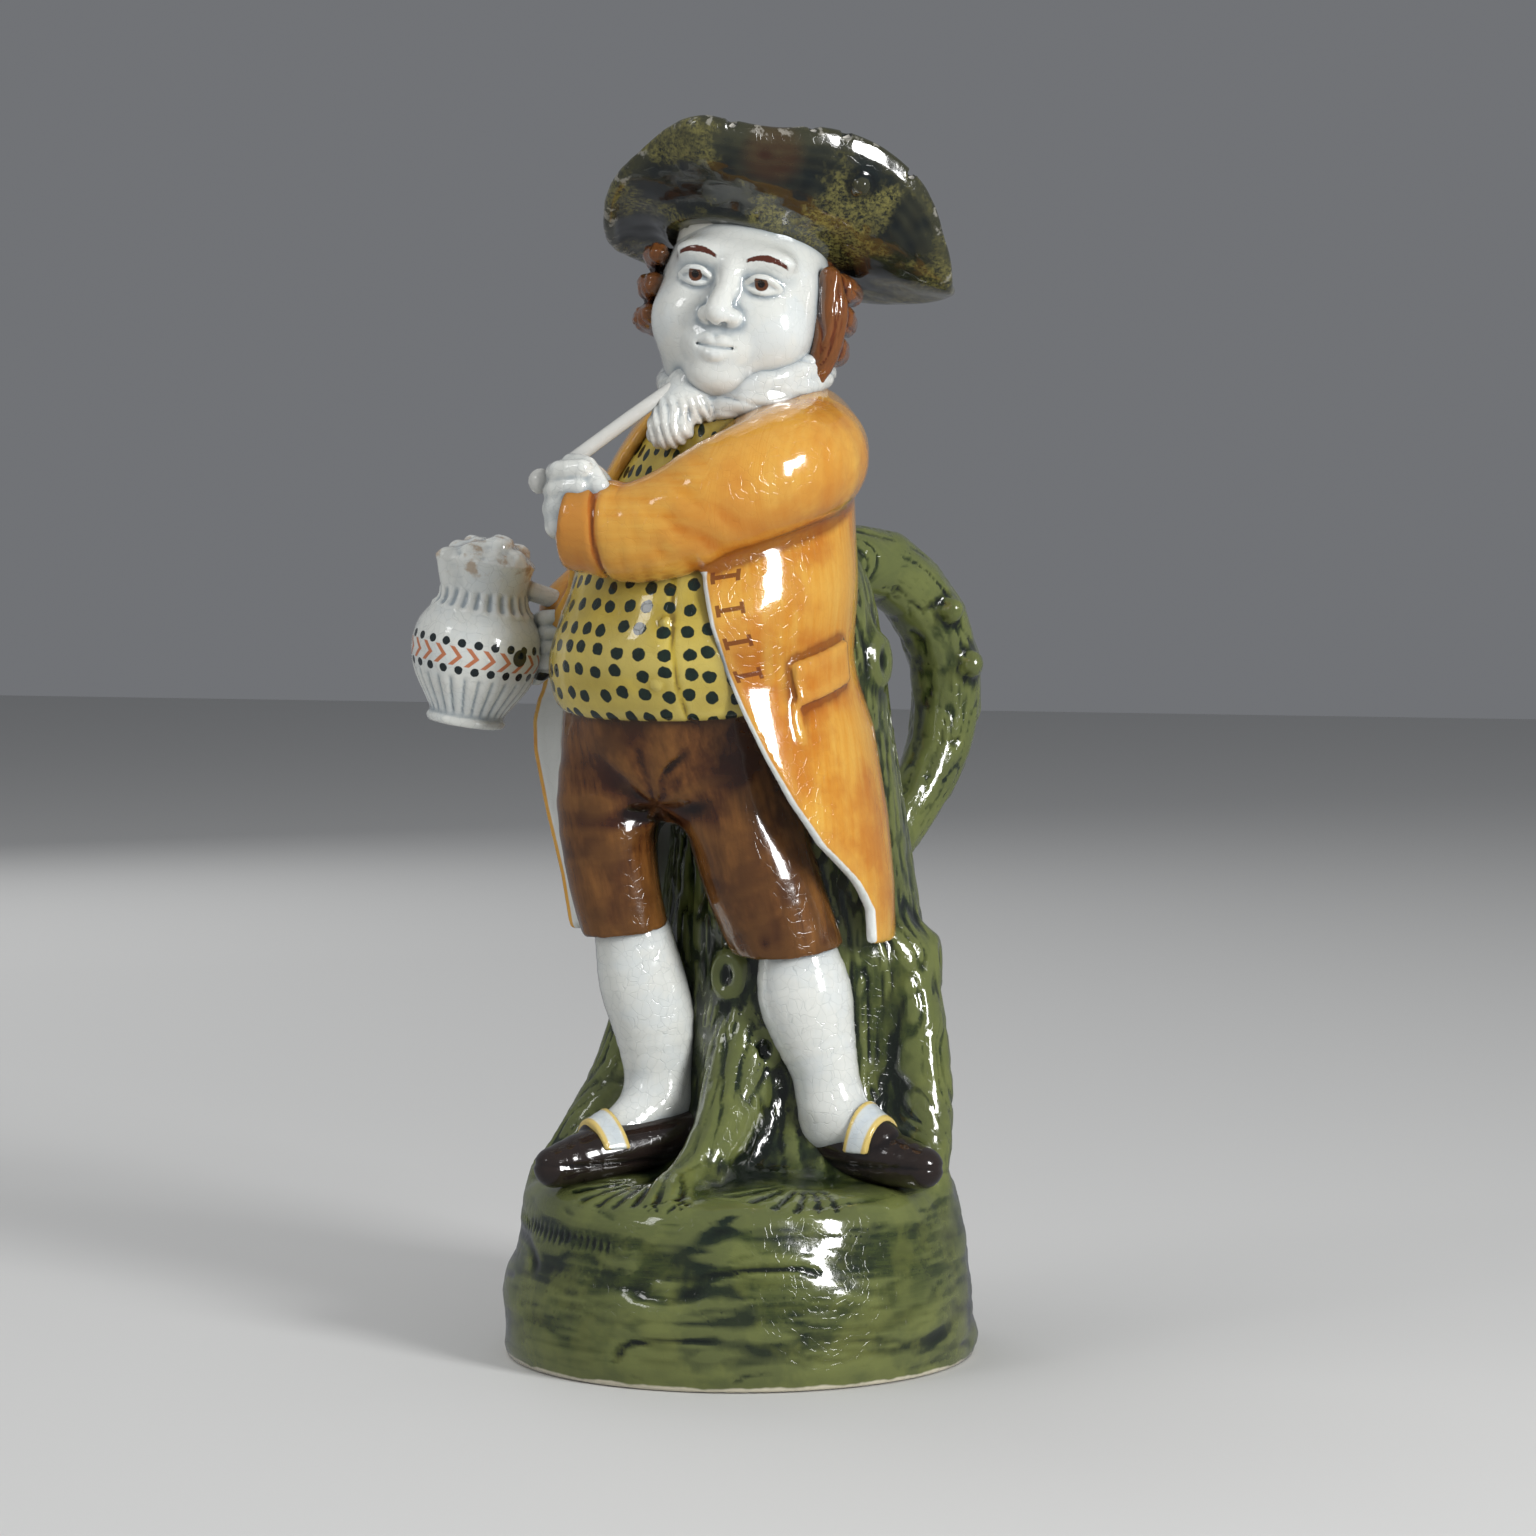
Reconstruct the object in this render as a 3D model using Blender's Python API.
"""Toby jug: a hollow glazed earthenware jug in the shape of a standing figure.

The figure wears a three-cornered hat, holds a clay pipe and a small ale jug, and stands with a tree
stump behind him on a round rocky mound. The stump's branch is the handle, and the open crown of the
hat is the mouth. It is one casting, so it is one solid: the forms below are overlapping lumps of
clay that a voxel remesh fuses, and one hollow, cut from the fused clay, runs from mouth to mound.

Axes: +Z up, -Y the way the feet face, +X the figure's left. The origin is on the table, at the
centre of the mound. Metres.
"""

import math

import bmesh
import bpy
import numpy as np
from mathutils import Matrix, Vector

# Driving sizes
MOUND_RADIUS = 0.056
GROUND_HEIGHT = 0.045
FIGURE_HEIGHT = 0.244
WALL = 0.0045
FLOOR = 0.0065
MOUTH_RADIUS = 0.0135
HANDLE_RADIUS = 0.0088
HANDLE_REACH = 0.053
SMALL_JUG_HEIGHT = 0.0445
PIPE_RADIUS = 0.0019
COAT_THICKNESS = 0.0030
BRIM_THICKNESS = 0.0036

# The fused clay is remeshed at VOXEL and then thinned to about these triangle counts
VOXEL = 0.0013
CLAY_TRIANGLES = 7600
HOLLOW_TRIANGLES = 700

# A figure unit is a millimetre on a figure of the standard height, so the pose is in shares of it
FIGURE_UNITS = 244.0
UNIT = FIGURE_HEIGHT / FIGURE_UNITS
GROUND_UNITS = 45.0


def at(x, y, z):
    """A point of the figure, in figure units with z from the table, as metres."""
    return Vector((x * UNIT, y * UNIT, GROUND_HEIGHT + (z - GROUND_UNITS) * UNIT))


# Forms of the figure: elliptical sections as (z, x, y, half width, half depth)
TORSO = [
    (150, -9, -5, 31.5, 30), (157, -9, -6, 33.5, 33), (166, -8.5, -6.5, 34, 34), (180, -6, -5, 32.5, 31),
    (194, -4, -3, 29.5, 27), (207, -2, -1.5, 26.5, 23), (217, 0, -0.5, 22.5, 19), (225, 1, 0, 16.5, 16),
    (230, 1, 0, 13, 13),
]
PELVIS = [(126, -11, -3, 15, 14), (133, -12, -5, 21, 20), (143, -12, -5, 27, 25), (154, -10, -5, 29, 28)]
NECK = [(218, 1, 0, 19, 17), (226, 1, -1, 18, 17), (236, 2, -1, 17, 17), (245, 2, -1, 15, 15)]
STUMP = [
    (34, 4, 9, 42, 38), (48, 5, 14, 40, 33), (60, 5.5, 17, 36, 29), (80, 6.5, 18, 34, 27.5),
    (100, 7, 17, 32, 26.5), (120, 7, 16, 29, 26), (145, 6, 14, 26.5, 24.5), (165, 6, 12, 24.5, 22.5),
    (182, 6, 10, 22, 19), (192, 6, 8, 16, 14),
]
# Limbs as (x, y, z, radius) along the bone
RIGHT_THIGH = [(-25, -8, 148, 15), (-28, -12, 130, 12.6), (-26.5, -13, 112, 10.6), (-23, -12, 101, 10.4)]
LEFT_THIGH = [(-1, -8, 146, 15.5), (3, -10, 130, 14.2), (9, -10, 112, 13.6), (15, -8, 98, 12.4)]
RIGHT_CALF = [
    (-22.5, -11, 98, 9.2), (-21, -9.5, 88, 10.2), (-19, -8, 79, 9.8), (-18, -7, 68, 8.4),
    (-17.5, -7, 55, 8.2),
]
LEFT_CALF = [
    (17.5, -8, 95, 10.6), (18.5, -8, 86, 11), (20.5, -8, 78, 9.8), (23.5, -8, 68, 7.9), (25.5, -8, 56, 7.6),
]
RIGHT_SHOE = [(-10, -8, 51.5, 6.4), (-18, -16.5, 50, 6.4), (-27, -26, 48.5, 6.4), (-34, -34, 46.5, 4.8)]
LEFT_SHOE = [(20, -4, 52, 6.6), (28, -8, 50.5, 6.8), (39, -12, 49, 6.6), (49, -15, 47.5, 5)]
RIGHT_INSTEP = [(-17.5, -8, 60, 7.6), (-22, -16, 54.5, 6.2), (-27, -23, 51.5, 4.8)]
LEFT_INSTEP = [(25.5, -8, 60, 7.2), (31, -10, 56, 6.2), (38, -12.5, 52.5, 5)]
RIGHT_SLEEVE = [
    (-17, 6, 212, 12.5), (-26, 12, 201, 11.5), (-33, 15, 187, 10.5), (-38.5, 11, 177, 9.5),
    (-43, 6, 171.5, 8.8),
]
LEFT_SLEEVE = [
    (13, -1, 212, 14.5), (20, -11, 207, 14), (17, -23, 202, 13.2), (6, -31, 197, 12.8), (-6, -35, 194, 12),
    (-16, -36.5, 193, 11.3), (-23, -36.5, 194, 10.6),
]
LEFT_SHOULDER = (8, -15, 209)
LEFT_SHOULDER_RADII = (15, 12, 13)
LEFT_CUFF = [(-18, -36.5, 193.5, 12), (-24, -36.3, 194.5, 11.8)]
LEFT_HAND = [(-28, -35, 199, 8.6), (-30, -34.5, 202, 8.0)]
RIGHT_HAND = [(-44, 5, 170, 6.6), (-47, 1, 166, 6.8)]
PIPE = [(-35, -35, 206), (-28, -32, 211), (-18, -26, 219.4), (-8.5, -19, 227.5)]
PIPE_BOWL = [(-33, -36, 204.5, 2.6), (-37, -37, 204, 2.9)]
ROOTS = [
    [(2, -2, 82, 8), (3, -14, 62, 8), (1, -27, 49, 7), (-3, -38, 42, 5)],
    [(-24, 10, 90, 8), (-30, 6, 66, 8), (-37, -2, 50, 7), (-43, -8, 42, 5)],
    [(36, 12, 92, 8), (41, 10, 70, 7.5), (44, 6, 54, 6.5), (45, 2, 42, 5)],
    [(20, 38, 80, 7), (24, 40, 58, 7), (27, 40, 44, 5)],
    [(-14, 34, 84, 7), (-19, 36, 62, 7), (-24, 39, 44, 6)],
]
# Stump knots as (x, y, z, radius)
KNOTS = [(1.4, -6.5, 90, 5.5), (9.5, -7, 73, 4.5), (38, 17, 92, 6.5), (27, 12, 163, 6), (-12, 33, 118, 6)]

HEAD_CENTRE = at(2, -2, 246)
HEAD_RADII = (21.0, 21.5, 25.5)
HEAD_TURN, HEAD_NOD, HEAD_ROLL = math.radians(4), math.radians(-8), math.radians(9)
HAT_PITCH, HAT_ROLL = math.radians(23), math.radians(9)
HAT_LINE = at(1, 1, 261.8)
HAT_RADIUS = 22.0
# The hat's turned-up edge as (angle from the front towards +X in degrees, reach, height)
HAT_EDGE = [
    (-172, 38, 10), (-150, 42, 5), (-125, 36, 0), (-100, 32.5, -4), (-72, 31.5, -4.5), (-38, 35, 0.7),
    (-20, 37, 6.8), (-5, 39.5, 9.0), (8, 36.5, 10.4), (22, 34.5, 12.4), (40, 35.5, 16.2), (58, 39, 16.8),
    (75, 43, 13), (90, 46.5, 5.5), (102, 48.5, 0), (116, 49, 3), (130, 44, 3), (145, 39, 3.5), (166, 36, 8),
]

# The coat is a sheet round this axis. Its front edges are angles from -Y towards +X, by height
COAT_AXIS = (-6.0, 0.0)
COAT_LEFT_EDGE = [
    (97, 78), (106, 77), (113, 69), (122, 54), (131.5, 44), (142, 35), (152.5, 27.5), (162, 21.5), (172, 17),
    (183, 13.5), (207, 8), (215, 14), (222, 40),
]
COAT_RIGHT_EDGE = [(97, -97), (125, -95), (155, -93), (180, -80), (207, -50), (222, -40)]
# How far it hangs from the axis, by height: the mean of its two sides and half their difference
COAT_SWELL = [
    (97, 39.6, 2), (111, 40.5, 0.8), (127, 41.6, -1.8), (141, 41.7, -4.3), (153, 40.6, -5.4), (165, 37.5, -5),
]
COAT_BACK = 30.0
COAT_HEM, COAT_TOP = 98.0, 222.0
# The coat hugs the torso above the first height and hangs free below the second
COAT_WAIST, COAT_FREE = 180.0, 148.0

HANDLE_AZIMUTH = math.radians(29)
STUMP_AXIS = (7.0, 16.0)
BARK_DEPTH = 1.8
# The branch handle as (share of its reach, height in figure units, share of its thickness)
HANDLE_LINE = [
    (0.20, 186, 1.0), (0.42, 186, 1.0), (0.62, 184, 1.0), (0.80, 177, 1.0), (0.95, 167, 1.0), (1.0, 155, 1.0),
    (0.975, 144, 0.94), (0.90, 135, 0.86), (0.78, 127, 0.80), (0.64, 119, 0.78), (0.46, 109, 0.78),
]

SMALL_JUG_FOOT = at(-66, -8, 147.5)
SMALL_JUG_LEAN = math.radians(9.5)
# The small jug's outline as shares of its height: (height, radius)
SMALL_JUG_OUTLINE = [
    (0.0, 0.205), (0.03, 0.215), (0.06, 0.20), (0.12, 0.235), (0.26, 0.32), (0.40, 0.35), (0.52, 0.33),
    (0.61, 0.275), (0.67, 0.235), (0.76, 0.222), (0.86, 0.238), (0.885, 0.232), (0.94, 0.18),
    (0.985, 0.09), (1.0, 0.01),
]
# The mound's outline: (share of the ground height, share of the mound radius)
MOUND_OUTLINE = [
    (-0.10, 0.985), (0.0, 0.985), (0.12, 1.0), (0.30, 0.995), (0.42, 0.98), (0.52, 0.96), (0.62, 0.94),
    (0.74, 0.92), (0.84, 0.90), (0.91, 0.85), (0.955, 0.74), (0.985, 0.52), (1.0, 0.28), (1.005, 0.02),
]

ROUND_SIDES = 32


def clear_scene():
    """Removes whatever the file opened with."""
    for thing in list(bpy.data.objects):
        bpy.data.objects.remove(thing)


def smooth_line(points, count):
    """Samples a Catmull-Rom curve through rows of numbers, count rows in all."""
    rows = np.array(points, float)
    ends = np.vstack([2 * rows[0] - rows[1], rows, 2 * rows[-1] - rows[-2]])
    found = []
    for place in np.linspace(0, len(rows) - 1, count):
        i = min(int(place), len(rows) - 2)
        t = place - i
        a, b, c, d = ends[i : i + 4]
        found.append(
            0.5 * (2 * b + (c - a) * t + (2 * a - 5 * b + 4 * c - d) * t * t + (3 * b - a - 3 * c + d) * t**3)
        )
    return np.array(found)


def skin(clay, rings):
    """Adds a closed skin over rings of points, each with as many points."""
    loops = [[clay.verts.new(p) for p in ring] for ring in rings]
    for low, high in zip(loops, loops[1:], strict=False):
        for i in range(len(low)):
            j = (i + 1) % len(low)
            clay.faces.new((low[i], low[j], high[j], high[i]))
    clay.faces.new(list(reversed(loops[0])))
    clay.faces.new(loops[-1])


def add_sections(clay, sections, shrink=0.0, wave=None):
    """Adds a form of level elliptical sections. A wave(angle, z) in figure units roughens it."""
    rings = []
    for z, x, y, wide, deep in smooth_line(sections, 4 * len(sections)):
        ring = []
        for i in range(ROUND_SIDES):
            angle = 2 * math.pi * i / ROUND_SIDES
            swell = wave(angle, z) if wave else 0.0
            a = wide + swell - shrink / UNIT
            b = deep + swell - shrink / UNIT
            ring.append(at(x + a * math.cos(angle), y + b * math.sin(angle), z))
        rings.append(ring)
    skin(clay, rings)


def add_tube(clay, line, radii, sides=16):
    """Adds a round tube with domed ends along points in metres."""
    line = [Vector(p) for p in line]
    tangents = [
        (line[min(i + 1, len(line) - 1)] - line[max(i - 1, 0)]).normalized() for i in range(len(line))
    ]
    stations = [(line[i], tangents[i], radii[i]) for i in range(len(line))]
    dome = [(math.sin(a), math.cos(a)) for a in np.linspace(0.1, 0.5, 4) * math.pi][::-1]
    first = [(line[0] - tangents[0] * radii[0] * c, tangents[0], radii[0] * s) for s, c in dome[::-1]]
    last = [(line[-1] + tangents[-1] * radii[-1] * c, tangents[-1], radii[-1] * s) for s, c in dome]
    side = tangents[0].orthogonal().normalized()
    rings = []
    for centre, tangent, radius in first + stations + last:
        side = (side - tangent * side.dot(tangent)).normalized()
        other = tangent.cross(side)
        turns = [2 * math.pi * i / sides for i in range(sides)]
        rings.append([centre + (side * math.cos(a) + other * math.sin(a)) * radius for a in turns])
    skin(clay, rings)


def add_limb(clay, bones, samples=4, grow=0.0):
    """Adds a limb along (x, y, z, radius) rows in figure units."""
    rows = smooth_line(bones, samples * len(bones))
    add_tube(clay, [at(*row[:3]) for row in rows], [row[3] * UNIT + grow for row in rows])


def add_ball(clay, centre, radii, turn=None):
    """Adds an ellipsoid. The radii are in figure units."""
    place = Matrix.Translation(centre) @ (turn or Matrix.Identity(4))
    place = place @ Matrix.Diagonal((*[r * UNIT for r in radii], 1.0))
    bmesh.ops.create_uvsphere(clay, u_segments=28, v_segments=16, radius=1.0, matrix=place)


def add_turned(clay, outline, place, sides=ROUND_SIDES):
    """Adds a turned form from (height, radius) pairs in metres, set in place by a matrix."""
    rings = []
    for height, radius in outline:
        turns = [2 * math.pi * i / sides for i in range(sides)]
        rings.append([place @ Vector((radius * math.cos(a), radius * math.sin(a), height)) for a in turns])
    skin(clay, rings)


def add_sheet(clay, point, normal_gap, across, along):
    """Adds a sheet with thickness: point(u, v, side) gives a place on its outer or inner face."""
    us, vs = np.linspace(0, 1, across), np.linspace(0, 1, along)
    rings = []
    for v in vs:
        outer = [point(u, v, normal_gap / 2) for u in us]
        inner = [point(u, v, -normal_gap / 2) for u in us[::-1]]
        rings.append(outer + inner)
    skin(clay, rings)


def read(table, z, column=1):
    """Reads a column of a table of rows that start with a height."""
    rows = np.array(table, float)
    return float(np.interp(z, rows[:, 0], rows[:, column]))


def torso_reach(angle, z):
    """How far the torso's surface is from the coat's axis at an angle from -Y, in figure units."""
    x, y = read(TORSO, z, 1) - COAT_AXIS[0], read(TORSO, z, 2) - COAT_AXIS[1]
    wide, deep = read(TORSO, z, 3), read(TORSO, z, 4)
    dx, dy = math.sin(angle), -math.cos(angle)
    a = (dx / wide) ** 2 + (dy / deep) ** 2
    b = -2 * (dx * x / wide**2 + dy * y / deep**2)
    c = (x / wide) ** 2 + (y / deep) ** 2 - 1
    return (-b + math.sqrt(max(b * b - 4 * a * c, 0.0))) / (2 * a)


def coat_reach(angle, z):
    """How far the coat is from its axis, in figure units."""
    hugging = torso_reach(angle, max(z, 158)) + 1.2
    hanging = read(COAT_SWELL, z, 1) + read(COAT_SWELL, z, 2) * math.sin(angle)
    behind = max(0.0, -math.cos(angle)) ** 2
    hanging += (COAT_BACK - hanging) * behind
    share = min(max((z - COAT_FREE) / (COAT_WAIST - COAT_FREE), 0.0), 1.0)
    return hanging * (1 - share) + hugging * share


def coat_point(start, end, bottom, top, lift=0.0):
    """The coat's sheet between two edge tables, as a function for add_sheet."""

    def point(u, v, side):
        z = bottom + (top - bottom) * v
        low, high = read(start, z), read(end, z)
        angle = math.radians(low + (high - low) * u)
        reach = coat_reach(angle, z) + lift + side / UNIT
        return at(COAT_AXIS[0] + reach * math.sin(angle), COAT_AXIS[1] - reach * math.cos(angle), z)

    return point


def add_coat(clay):
    """The coat: its panels, a pocket flap, and the right panel's thick facing beside the breeches."""
    around = [(z, edge + 360) for z, edge in COAT_RIGHT_EDGE]
    add_sheet(clay, coat_point(COAT_LEFT_EDGE, around, COAT_HEM, COAT_TOP), COAT_THICKNESS, 64, 44)
    pocket = coat_point([(150, 52), (162, 44)], [(150, 80), (162, 76)], 152, 163, lift=1.6)
    add_sheet(clay, pocket, COAT_THICKNESS, 12, 6)
    facing = coat_point([(97, -111), (180, -100)], COAT_RIGHT_EDGE, COAT_HEM + 1, 165, lift=-6)
    add_sheet(clay, facing, 4.5 * COAT_THICKNESS, 8, 20)


def hat_frame():
    """The hat's own axes: its line tips back and down to the figure's left."""
    tipped = Matrix.Rotation(HAT_ROLL, 4, "Y") @ Matrix.Rotation(-HAT_PITCH, 4, "X")
    return Matrix.Translation(HAT_LINE) @ tipped


def brim_edges(count=72):
    """The brim's outer edge all round, as rows of its angle in degrees, reach and height."""
    rows = [(a + turn, reach, height) for turn in (-360, 0, 360) for a, reach, height in HAT_EDGE]
    table = np.array([tuple(row) for row in smooth_line(rows, 12 * len(rows))])
    angles = np.arange(count) * 360.0 / count - 180.0
    reach, height = (np.interp(angles, table[:, 0], table[:, k]) for k in (1, 2))
    return zip(angles, reach, height)


def add_hat(clay):
    """The hat: a brim turned up between three corners, and the crown round the mouth."""
    frame = hat_frame()
    rings = []
    for angle, reach, height in brim_edges():
        out = Vector((math.sin(math.radians(angle)), -math.cos(math.radians(angle)), 0))
        outer, inner = [], []
        for s in np.linspace(0, 1, 9):
            bend = s * math.pi / 2
            centre = out * (HAT_RADIUS - 4 + (reach - HAT_RADIUS + 4) * math.sin(bend))
            centre += Vector((0, 0, height * (1 - math.cos(bend)) ** 0.85))
            rise = height * math.sin(bend)
            run = (reach - HAT_RADIUS + 4) * math.cos(bend)
            normal = (out * rise - Vector((0, 0, run + 0.01))).normalized()
            half = BRIM_THICKNESS / UNIT / 2
            outer.append(frame @ ((centre + normal * half) * UNIT))
            inner.append(frame @ ((centre - normal * half) * UNIT))
        rings.append(outer + inner[::-1])
    loops = [[clay.verts.new(p) for p in ring] for ring in rings]
    for i in range(len(loops)):
        low, high = loops[i], loops[(i + 1) % len(loops)]
        for k in range(len(low)):
            n = (k + 1) % len(low)
            clay.faces.new((low[k], low[n], high[n], high[k]))
    lip = MOUTH_RADIUS + WALL
    crown = [(-4 * UNIT, lip), (2 * UNIT, HAT_RADIUS * UNIT), (8 * UNIT, lip + 0.001), (13 * UNIT, lip)]
    add_turned(clay, crown, frame)


def head_frame():
    """The head's own axes, turned, nodded back and rolled."""
    turn = Matrix.Rotation(HEAD_TURN, 4, "Z") @ Matrix.Rotation(HEAD_ROLL, 4, "Y")
    return turn @ Matrix.Rotation(HEAD_NOD, 4, "X")


def on_head(x, y, z):
    """A point in the head's own axes, in figure units from its centre, as metres."""
    return HEAD_CENTRE + head_frame() @ Vector((x * UNIT, y * UNIT, z * UNIT))


def add_head(clay):
    """The head, with a plain face on even thirds, and the hair over its sides and back."""
    turn = head_frame()
    add_ball(clay, HEAD_CENTRE, HEAD_RADII, turn)
    features = [
        ((0, -5, -13), (15, 14, 11)),
        ((0, -21.5, -3.5), (2.6, 4.5, 5.5)),
        ((0, -22.5, -6.5), (3.8, 3.4, 2.6)),
        ((0, -19.8, -12.0), (6.0, 3.0, 1.6)),
        ((0, -19.2, -14.5), (5.0, 3.0, 1.8)),
        ((0, -17.5, -20.0), (6.5, 4.5, 4.5)),
        ((-8, -18.2, 3.2), (4.2, 2.6, 2.6)),
        ((8, -18.2, 3.2), (4.2, 2.6, 2.6)),
        ((-8, -18.4, 7.6), (6.5, 2.4, 1.6)),
        ((8, -18.4, 7.6), (6.5, 2.4, 1.6)),
        ((-11, -13, -6), (8, 7, 7)),
        ((11, -13, -6), (8, 7, 7)),
        ((0, 5, -3), (24.5, 20, 23)),
        ((0, 13, -16), (17, 11, 14)),
    ]
    for place, radii in features:
        add_ball(clay, on_head(*place), radii, turn)
    for side in (-1, 1):
        for row in range(3):
            ends = [on_head(side * 22.5, y, 1 - 7.0 * row) for y in (-7, 8)]
            add_tube(clay, ends, [3.6 * UNIT, 3.8 * UNIT])


def bark(angle, z):
    """The stump's furrows, in figure units: uneven ribs that wind a little as they rise."""
    wind = angle + 0.35 * math.sin(z / 26.0)
    ribs = 0.6 * math.sin(11 * wind + 1.3 * math.sin(z / 17.0)) + 0.4 * math.sin(5 * wind - z / 21.0)
    return BARK_DEPTH * ribs


def add_stump(clay):
    """The stump with its roots and knots."""
    add_sections(clay, STUMP, wave=bark)
    for root in ROOTS:
        add_limb(clay, root)
    for x, y, z, radius in KNOTS:
        add_ball(clay, at(x, y, z), (radius, radius, radius * 1.25))


def handle_points(count=26):
    """The branch handle's line and its radii, in metres."""
    foot = at(*STUMP_AXIS, 0)
    out = Vector((math.sin(HANDLE_AZIMUTH), math.cos(HANDLE_AZIMUTH), 0))
    points, radii = [], []
    for share, z, thick in smooth_line(HANDLE_LINE, count):
        place = foot + out * (share * HANDLE_REACH)
        points.append(Vector((place.x, place.y, at(0, 0, z).z)))
        radii.append(thick * HANDLE_RADIUS)
    return points, radii


def add_handle(clay):
    """The branch handle, with ribs of bark along it and two cut twigs."""
    line, radii = handle_points()
    add_tube(clay, line, radii)
    away = Vector((math.cos(HANDLE_AZIMUTH), -math.sin(HANDLE_AZIMUTH), 0))
    for rib in range(7):
        angle = 2 * math.pi * rib / 7
        ridge = []
        for i in range(len(line)):
            tangent = (line[min(i + 1, len(line) - 1)] - line[max(i - 1, 0)]).normalized()
            up = tangent.cross(away)
            turn = angle + 0.5 * math.sin(i / 6.0 + rib)
            ridge.append(line[i] + (away * math.cos(turn) + up * math.sin(turn)) * radii[i] * 0.86)
        add_tube(clay, ridge, [radius * 0.24 for radius in radii], sides=8)
    for i in (8, 11):
        add_tube(clay, [line[i], line[i] + away * HANDLE_RADIUS * 1.08], [HANDLE_RADIUS * 0.4] * 2, sides=10)


def rocks(angle, share):
    """How far the mound's rocks stand in or out, as a share of its radius."""
    ledges = 0.012 * math.sin(3 * angle + 11 * share) + 0.010 * math.sin(7 * angle - 9 * share + 1.0)
    return ledges * math.sin(math.pi * min(max(share, 0.0), 1.0))


def add_mound(clay):
    """The mound of rocks that the figure stands on."""
    rings = []
    for share, reach in smooth_line(MOUND_OUTLINE, 3 * len(MOUND_OUTLINE)):
        ring = []
        for i in range(2 * ROUND_SIDES):
            angle = math.pi * i / ROUND_SIDES
            radius = MOUND_RADIUS * (max(reach, 0.01) + rocks(angle, share))
            ring.append(Vector((radius * math.cos(angle), radius * math.sin(angle), share * GROUND_HEIGHT)))
        rings.append(ring)
    skin(clay, rings)


def small_jug_frame():
    """The small jug's axes: it leans towards the figure."""
    return Matrix.Translation(SMALL_JUG_FOOT) @ Matrix.Rotation(SMALL_JUG_LEAN, 4, "Y")


def add_small_jug(clay):
    """The small ale jug, full to its frothy top, with a spout and a handle in the figure's hand."""
    frame = small_jug_frame()
    outline = [(h * SMALL_JUG_HEIGHT, r * SMALL_JUG_HEIGHT) for h, r in SMALL_JUG_OUTLINE]
    add_turned(clay, outline, frame)

    def inside(x, y, z):
        return frame @ (Vector((x, y, z)) * SMALL_JUG_HEIGHT)

    spout = [inside(-0.12, -0.08, 0.66), inside(-0.20, -0.13, 0.78), inside(-0.26, -0.17, 0.87)]
    add_tube(clay, spout, [0.07 * SMALL_JUG_HEIGHT, 0.08 * SMALL_JUG_HEIGHT, 0.06 * SMALL_JUG_HEIGHT])
    grip = [inside(0.18, 0.10, 0.76), inside(0.38, 0.20, 0.70), inside(0.44, 0.24, 0.50)]
    grip.append(inside(0.30, 0.16, 0.30))
    grip = [Vector(p) for p in smooth_line(grip, 12)]
    add_tube(clay, grip, [0.05 * SMALL_JUG_HEIGHT] * len(grip), sides=10)


def add_figure(clay):
    """The figure's clothes and limbs."""
    add_sections(clay, TORSO)
    add_sections(clay, PELVIS)
    add_sections(clay, NECK)
    limbs = (
        RIGHT_THIGH, LEFT_THIGH, RIGHT_CALF, LEFT_CALF, RIGHT_SHOE, LEFT_SHOE, RIGHT_INSTEP, LEFT_INSTEP,
        RIGHT_SLEEVE, LEFT_SLEEVE, LEFT_CUFF, LEFT_HAND, RIGHT_HAND,
    )
    for limb in limbs:
        add_limb(clay, limb)
    add_ball(clay, at(*LEFT_SHOULDER), LEFT_SHOULDER_RADII)
    add_coat(clay)
    for x, drop, y in ((-9, 0, -17), (-12, 8, -21), (-14, 15, -24.5)):
        add_ball(clay, at(x, y, 226 - drop), (7 - drop / 5, 4, 6))
    turns = np.linspace(0, 6.0, 24)
    collar = [at(2 + 18.5 * math.sin(a), -17.5 * math.cos(a), 228 - 4.5 * math.cos(a)) for a in turns]
    add_tube(clay, collar, [4.2 * UNIT] * len(collar), sides=10)


def add_pipe(clay):
    """The clay pipe: its stem runs from the hand up to the neckcloth."""
    stem = smooth_line(PIPE, 12)
    add_tube(clay, [at(*p) for p in stem], [PIPE_RADIUS] * len(stem), sides=10)
    add_limb(clay, PIPE_BOWL)


def new_object(name, clay):
    """Makes an object of the lumps in a bmesh, faces out."""
    bmesh.ops.recalc_face_normals(clay, faces=clay.faces)
    mesh = bpy.data.meshes.new(name)
    clay.to_mesh(mesh)
    clay.free()
    thing = bpy.data.objects.new(name, mesh)
    bpy.context.scene.collection.objects.link(thing)
    return thing


def biggest_shell(mesh):
    """Drops the walls of air pockets shut in between lumps, keeping the outer skin."""
    clay = bmesh.new()
    clay.from_mesh(mesh)
    shells, seen = [], set()
    for start in clay.verts:
        if start in seen:
            continue
        shell, edge = [start], [start]
        seen.add(start)
        while edge:
            for link in edge.pop().link_edges:
                for vert in link.verts:
                    if vert not in seen:
                        seen.add(vert)
                        shell.append(vert)
                        edge.append(vert)
        shells.append(shell)
    shells.sort(key=len)
    for shell in shells[:-1]:
        bmesh.ops.delete(clay, geom=shell, context="VERTS")
    clay.to_mesh(mesh)
    clay.free()


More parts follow.
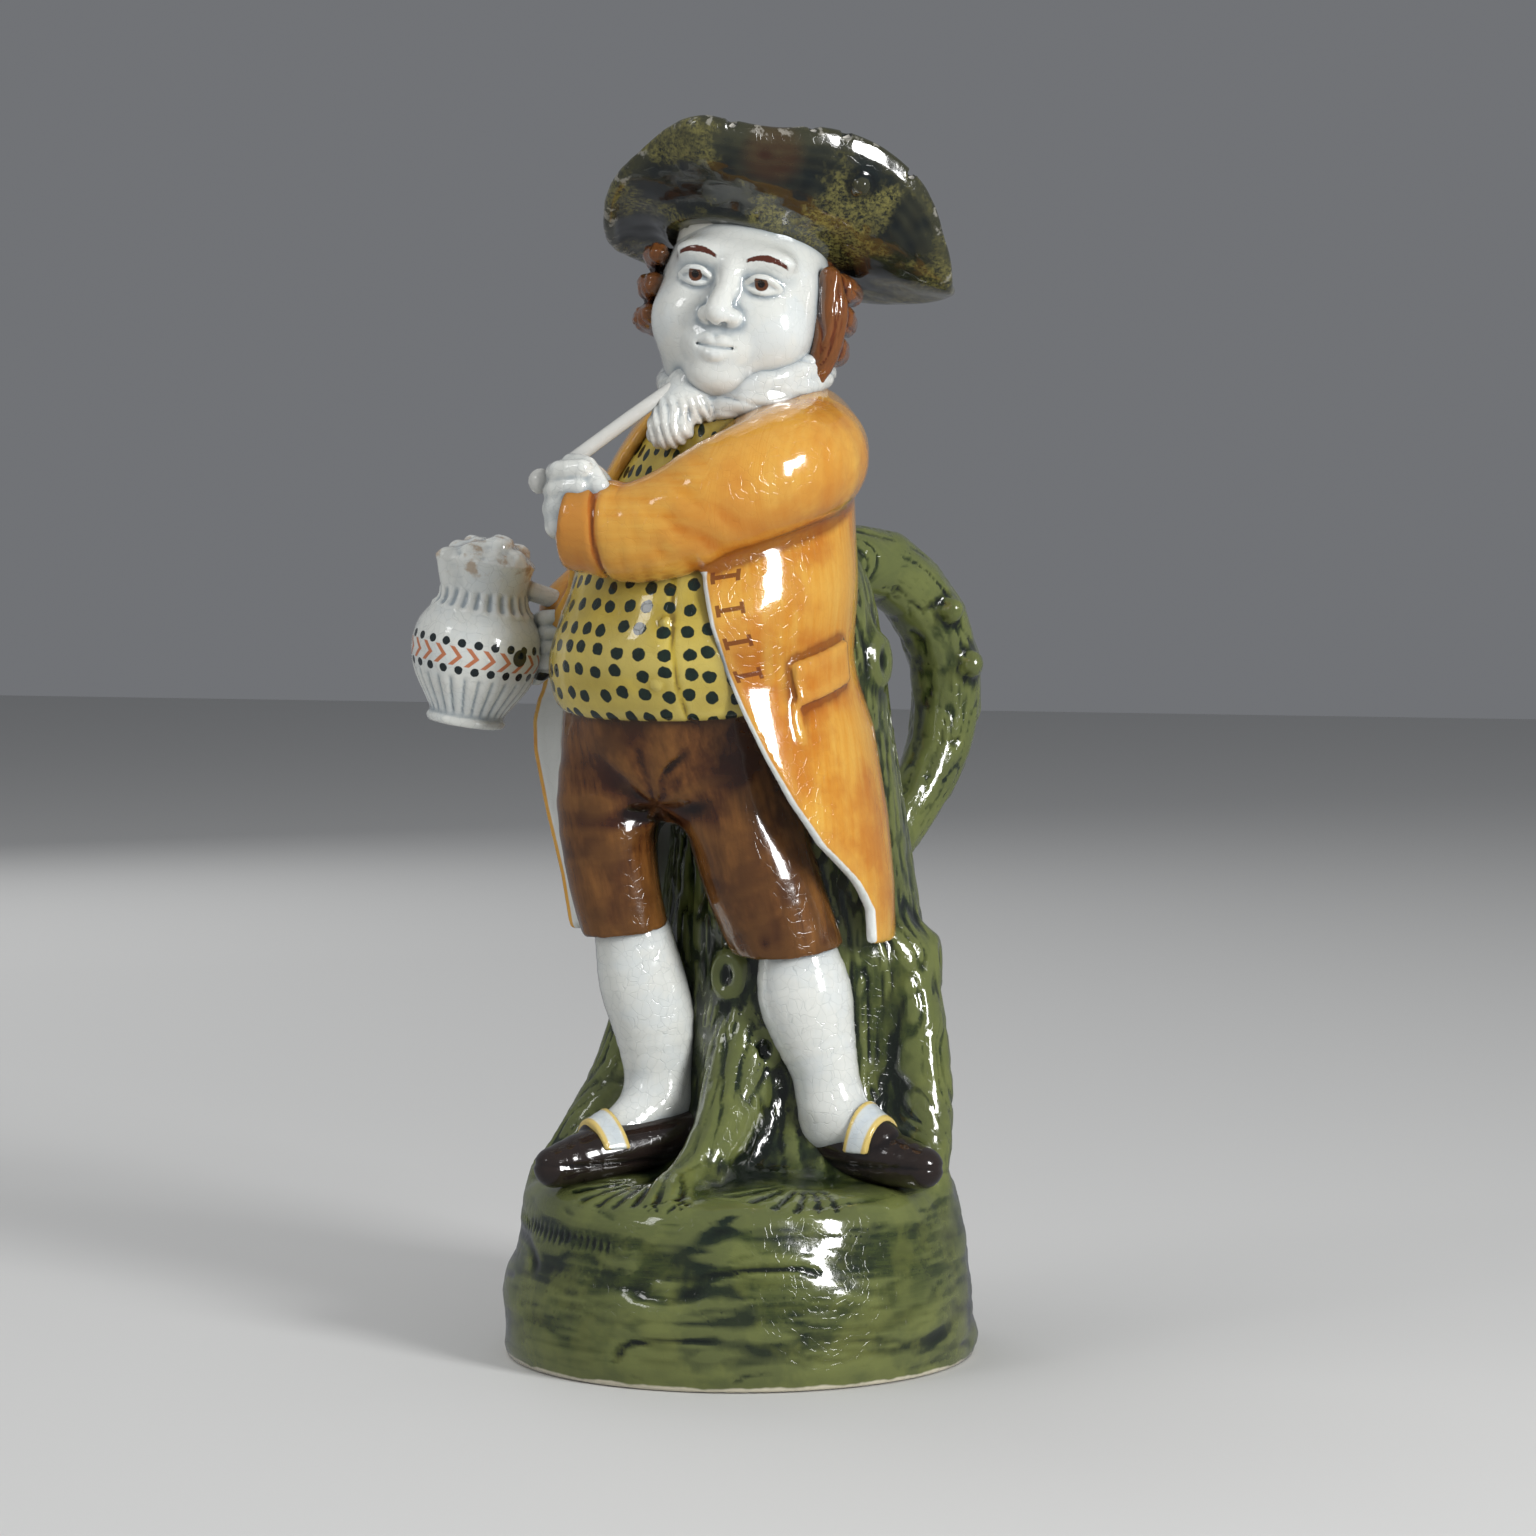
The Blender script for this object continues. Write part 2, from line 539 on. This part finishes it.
def fuse(thing, voxel, triangles):
    """Fuses an object's lumps with a voxel remesh, softens them as glaze does and thins the faces."""
    remesh = thing.modifiers.new("fuse", "REMESH")
    remesh.mode = "VOXEL"
    remesh.voxel_size = voxel
    remesh.adaptivity = 0.0
    soften = thing.modifiers.new("soften", "SMOOTH")
    soften.factor = 0.5
    soften.iterations = 2
    fused = bpy.data.meshes.new_from_object(thing.evaluated_get(bpy.context.evaluated_depsgraph_get()))
    thing.modifiers.clear()
    biggest_shell(fused)
    thing.data = fused
    thin = thing.modifiers.new("thin", "DECIMATE")
    thin.ratio = min(triangles / (2.0 * len(fused.polygons)), 1.0)
    thing.data = bpy.data.meshes.new_from_object(thing.evaluated_get(bpy.context.evaluated_depsgraph_get()))
    thing.modifiers.clear()


def as_cutter(thing):
    """Keeps an object out of the render and shows it as wire."""
    thing.hide_render = True
    thing.display_type = "WIRE"
    return thing


def add_cut(thing, cutter, name):
    """Cuts a cutter from an object."""
    cut = thing.modifiers.new(name, "BOOLEAN")
    cut.operation = "DIFFERENCE"
    cut.object = cutter


def hollow_cutter():
    """The hollow: the same forms a wall thickness smaller, from the mound up to the mouth."""
    clay = bmesh.new()
    torso = [row for row in TORSO if row[0] >= 157]
    add_sections(clay, torso, shrink=WALL)
    add_sections(clay, STUMP[:-1], shrink=WALL + BARK_DEPTH * UNIT)
    outline = []
    for share, reach in MOUND_OUTLINE:
        height = min(max(share * GROUND_HEIGHT, FLOOR), 0.97 * GROUND_HEIGHT - WALL)
        outline.append((height, MOUND_RADIUS * (reach - 0.025) - WALL))
    inner = [(FLOOR, 0.001)] + [(h, r) for h, r in outline if r > 0.3 * MOUND_RADIUS]
    add_turned(clay, inner + [(0.97 * GROUND_HEIGHT, 0.012)], Matrix.Identity(4))
    bore = MOUTH_RADIUS - 0.0015
    throat = [at(0, 4, 205), at(1, 2, 228), HEAD_CENTRE + Vector((0, 2 * UNIT, 0))]
    add_tube(clay, throat, [bore] * len(throat), sides=24)
    add_ball(clay, HEAD_CENTRE, [r - WALL / UNIT for r in HEAD_RADII], head_frame())
    return clay


def build():
    """Models the jug."""
    clear_scene()
    clay = bmesh.new()
    for add in (add_mound, add_stump, add_handle, add_figure, add_head, add_hat, add_pipe, add_small_jug):
        add(clay)
    jug = new_object("toby_jug", clay)
    fuse(jug, VOXEL, CLAY_TRIANGLES)

    hollow = as_cutter(new_object("hollow_cutter", hollow_cutter()))
    fuse(hollow, 1.6 * VOXEL, HOLLOW_TRIANGLES)
    add_cut(jug, hollow, "hollow")

    mouth = bmesh.new()
    bore = [(-14 * UNIT, MOUTH_RADIUS - 0.001), (6 * UNIT, MOUTH_RADIUS), (40 * UNIT, MOUTH_RADIUS + 0.001)]
    add_turned(mouth, bore, hat_frame(), sides=28)
    add_cut(jug, as_cutter(new_object("mouth_cutter", mouth)), "mouth")

    below = bmesh.new()
    add_turned(below, [(-0.03, 2 * MOUND_RADIUS), (0.0, 2 * MOUND_RADIUS)], Matrix.Identity(4), sides=4)
    add_cut(jug, as_cutter(new_object("table_cutter", below)), "table")

    glaze = bpy.data.materials.new("glazed_earthenware")
    glaze.use_nodes = True
    shader = glaze.node_tree.nodes["Principled BSDF"]
    shader.inputs["Base Color"].default_value = (0.42, 0.33, 0.12, 1)
    shader.inputs["Roughness"].default_value = 0.12
    shader.inputs["Metallic"].default_value = 0.0
    jug.data.materials.append(glaze)


build()
